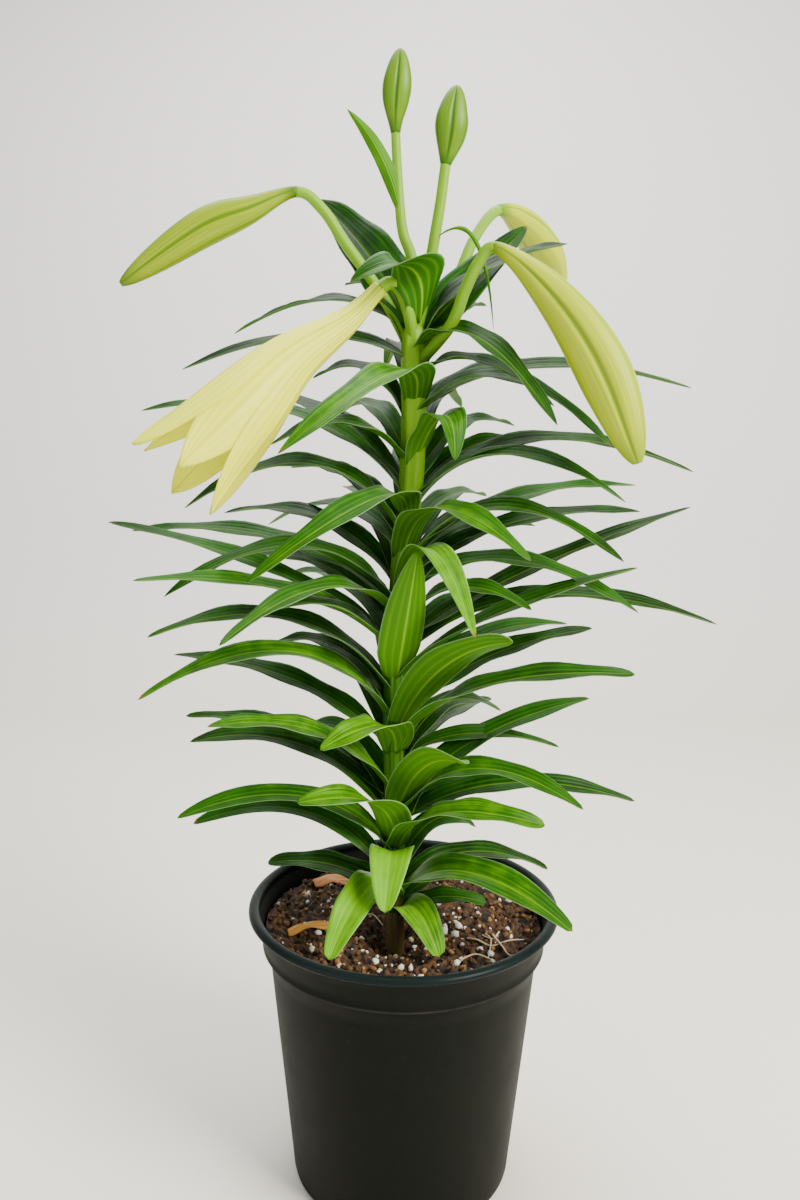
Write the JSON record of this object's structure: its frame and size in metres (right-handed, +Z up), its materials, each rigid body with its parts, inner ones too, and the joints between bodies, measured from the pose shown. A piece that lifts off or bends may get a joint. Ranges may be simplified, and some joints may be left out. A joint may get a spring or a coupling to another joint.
{
  "type": "potted easter lily",
  "caption": "Tall leafy easter lily with one open trumpet flower and drooping and upright buds, growing in soil in a round tapered nursery pot.",
  "frame": {"origin": "middle of the pot's flat underside, on the pot's axis", "axes": "+Z up along the pot's axis, +X to the right of the front view, +Y away from the front view"},
  "size_m": [0.304, 0.1955, 0.5768],
  "materials": {
    "pot": "satin black plastic with a glossier lip",
    "soil": "dark crumbly peat with white perlite",
    "leafy_stem": "glossy mid green with paler ribs",
    "open_flower": "smooth cream with yellow seams",
    "bud_left": "smooth yellow-green",
    "bud_front_right": "smooth pale yellow-green",
    "bud_back_right": "smooth pale yellow-green",
    "bud_top_left": "smooth green",
    "bud_top_right": "smooth green"
  },
  "bodies": {
    "root": {"pot": "pot", "soil": "soil", "leafy_stem": "leafy_stem", "open_flower": "open_flower", "bud_left": "bud_left", "bud_front_right": "bud_front_right", "bud_back_right": "bud_back_right", "bud_top_left": "bud_top_left", "bud_top_right": "bud_top_right"}
  },
  "joints": []
}
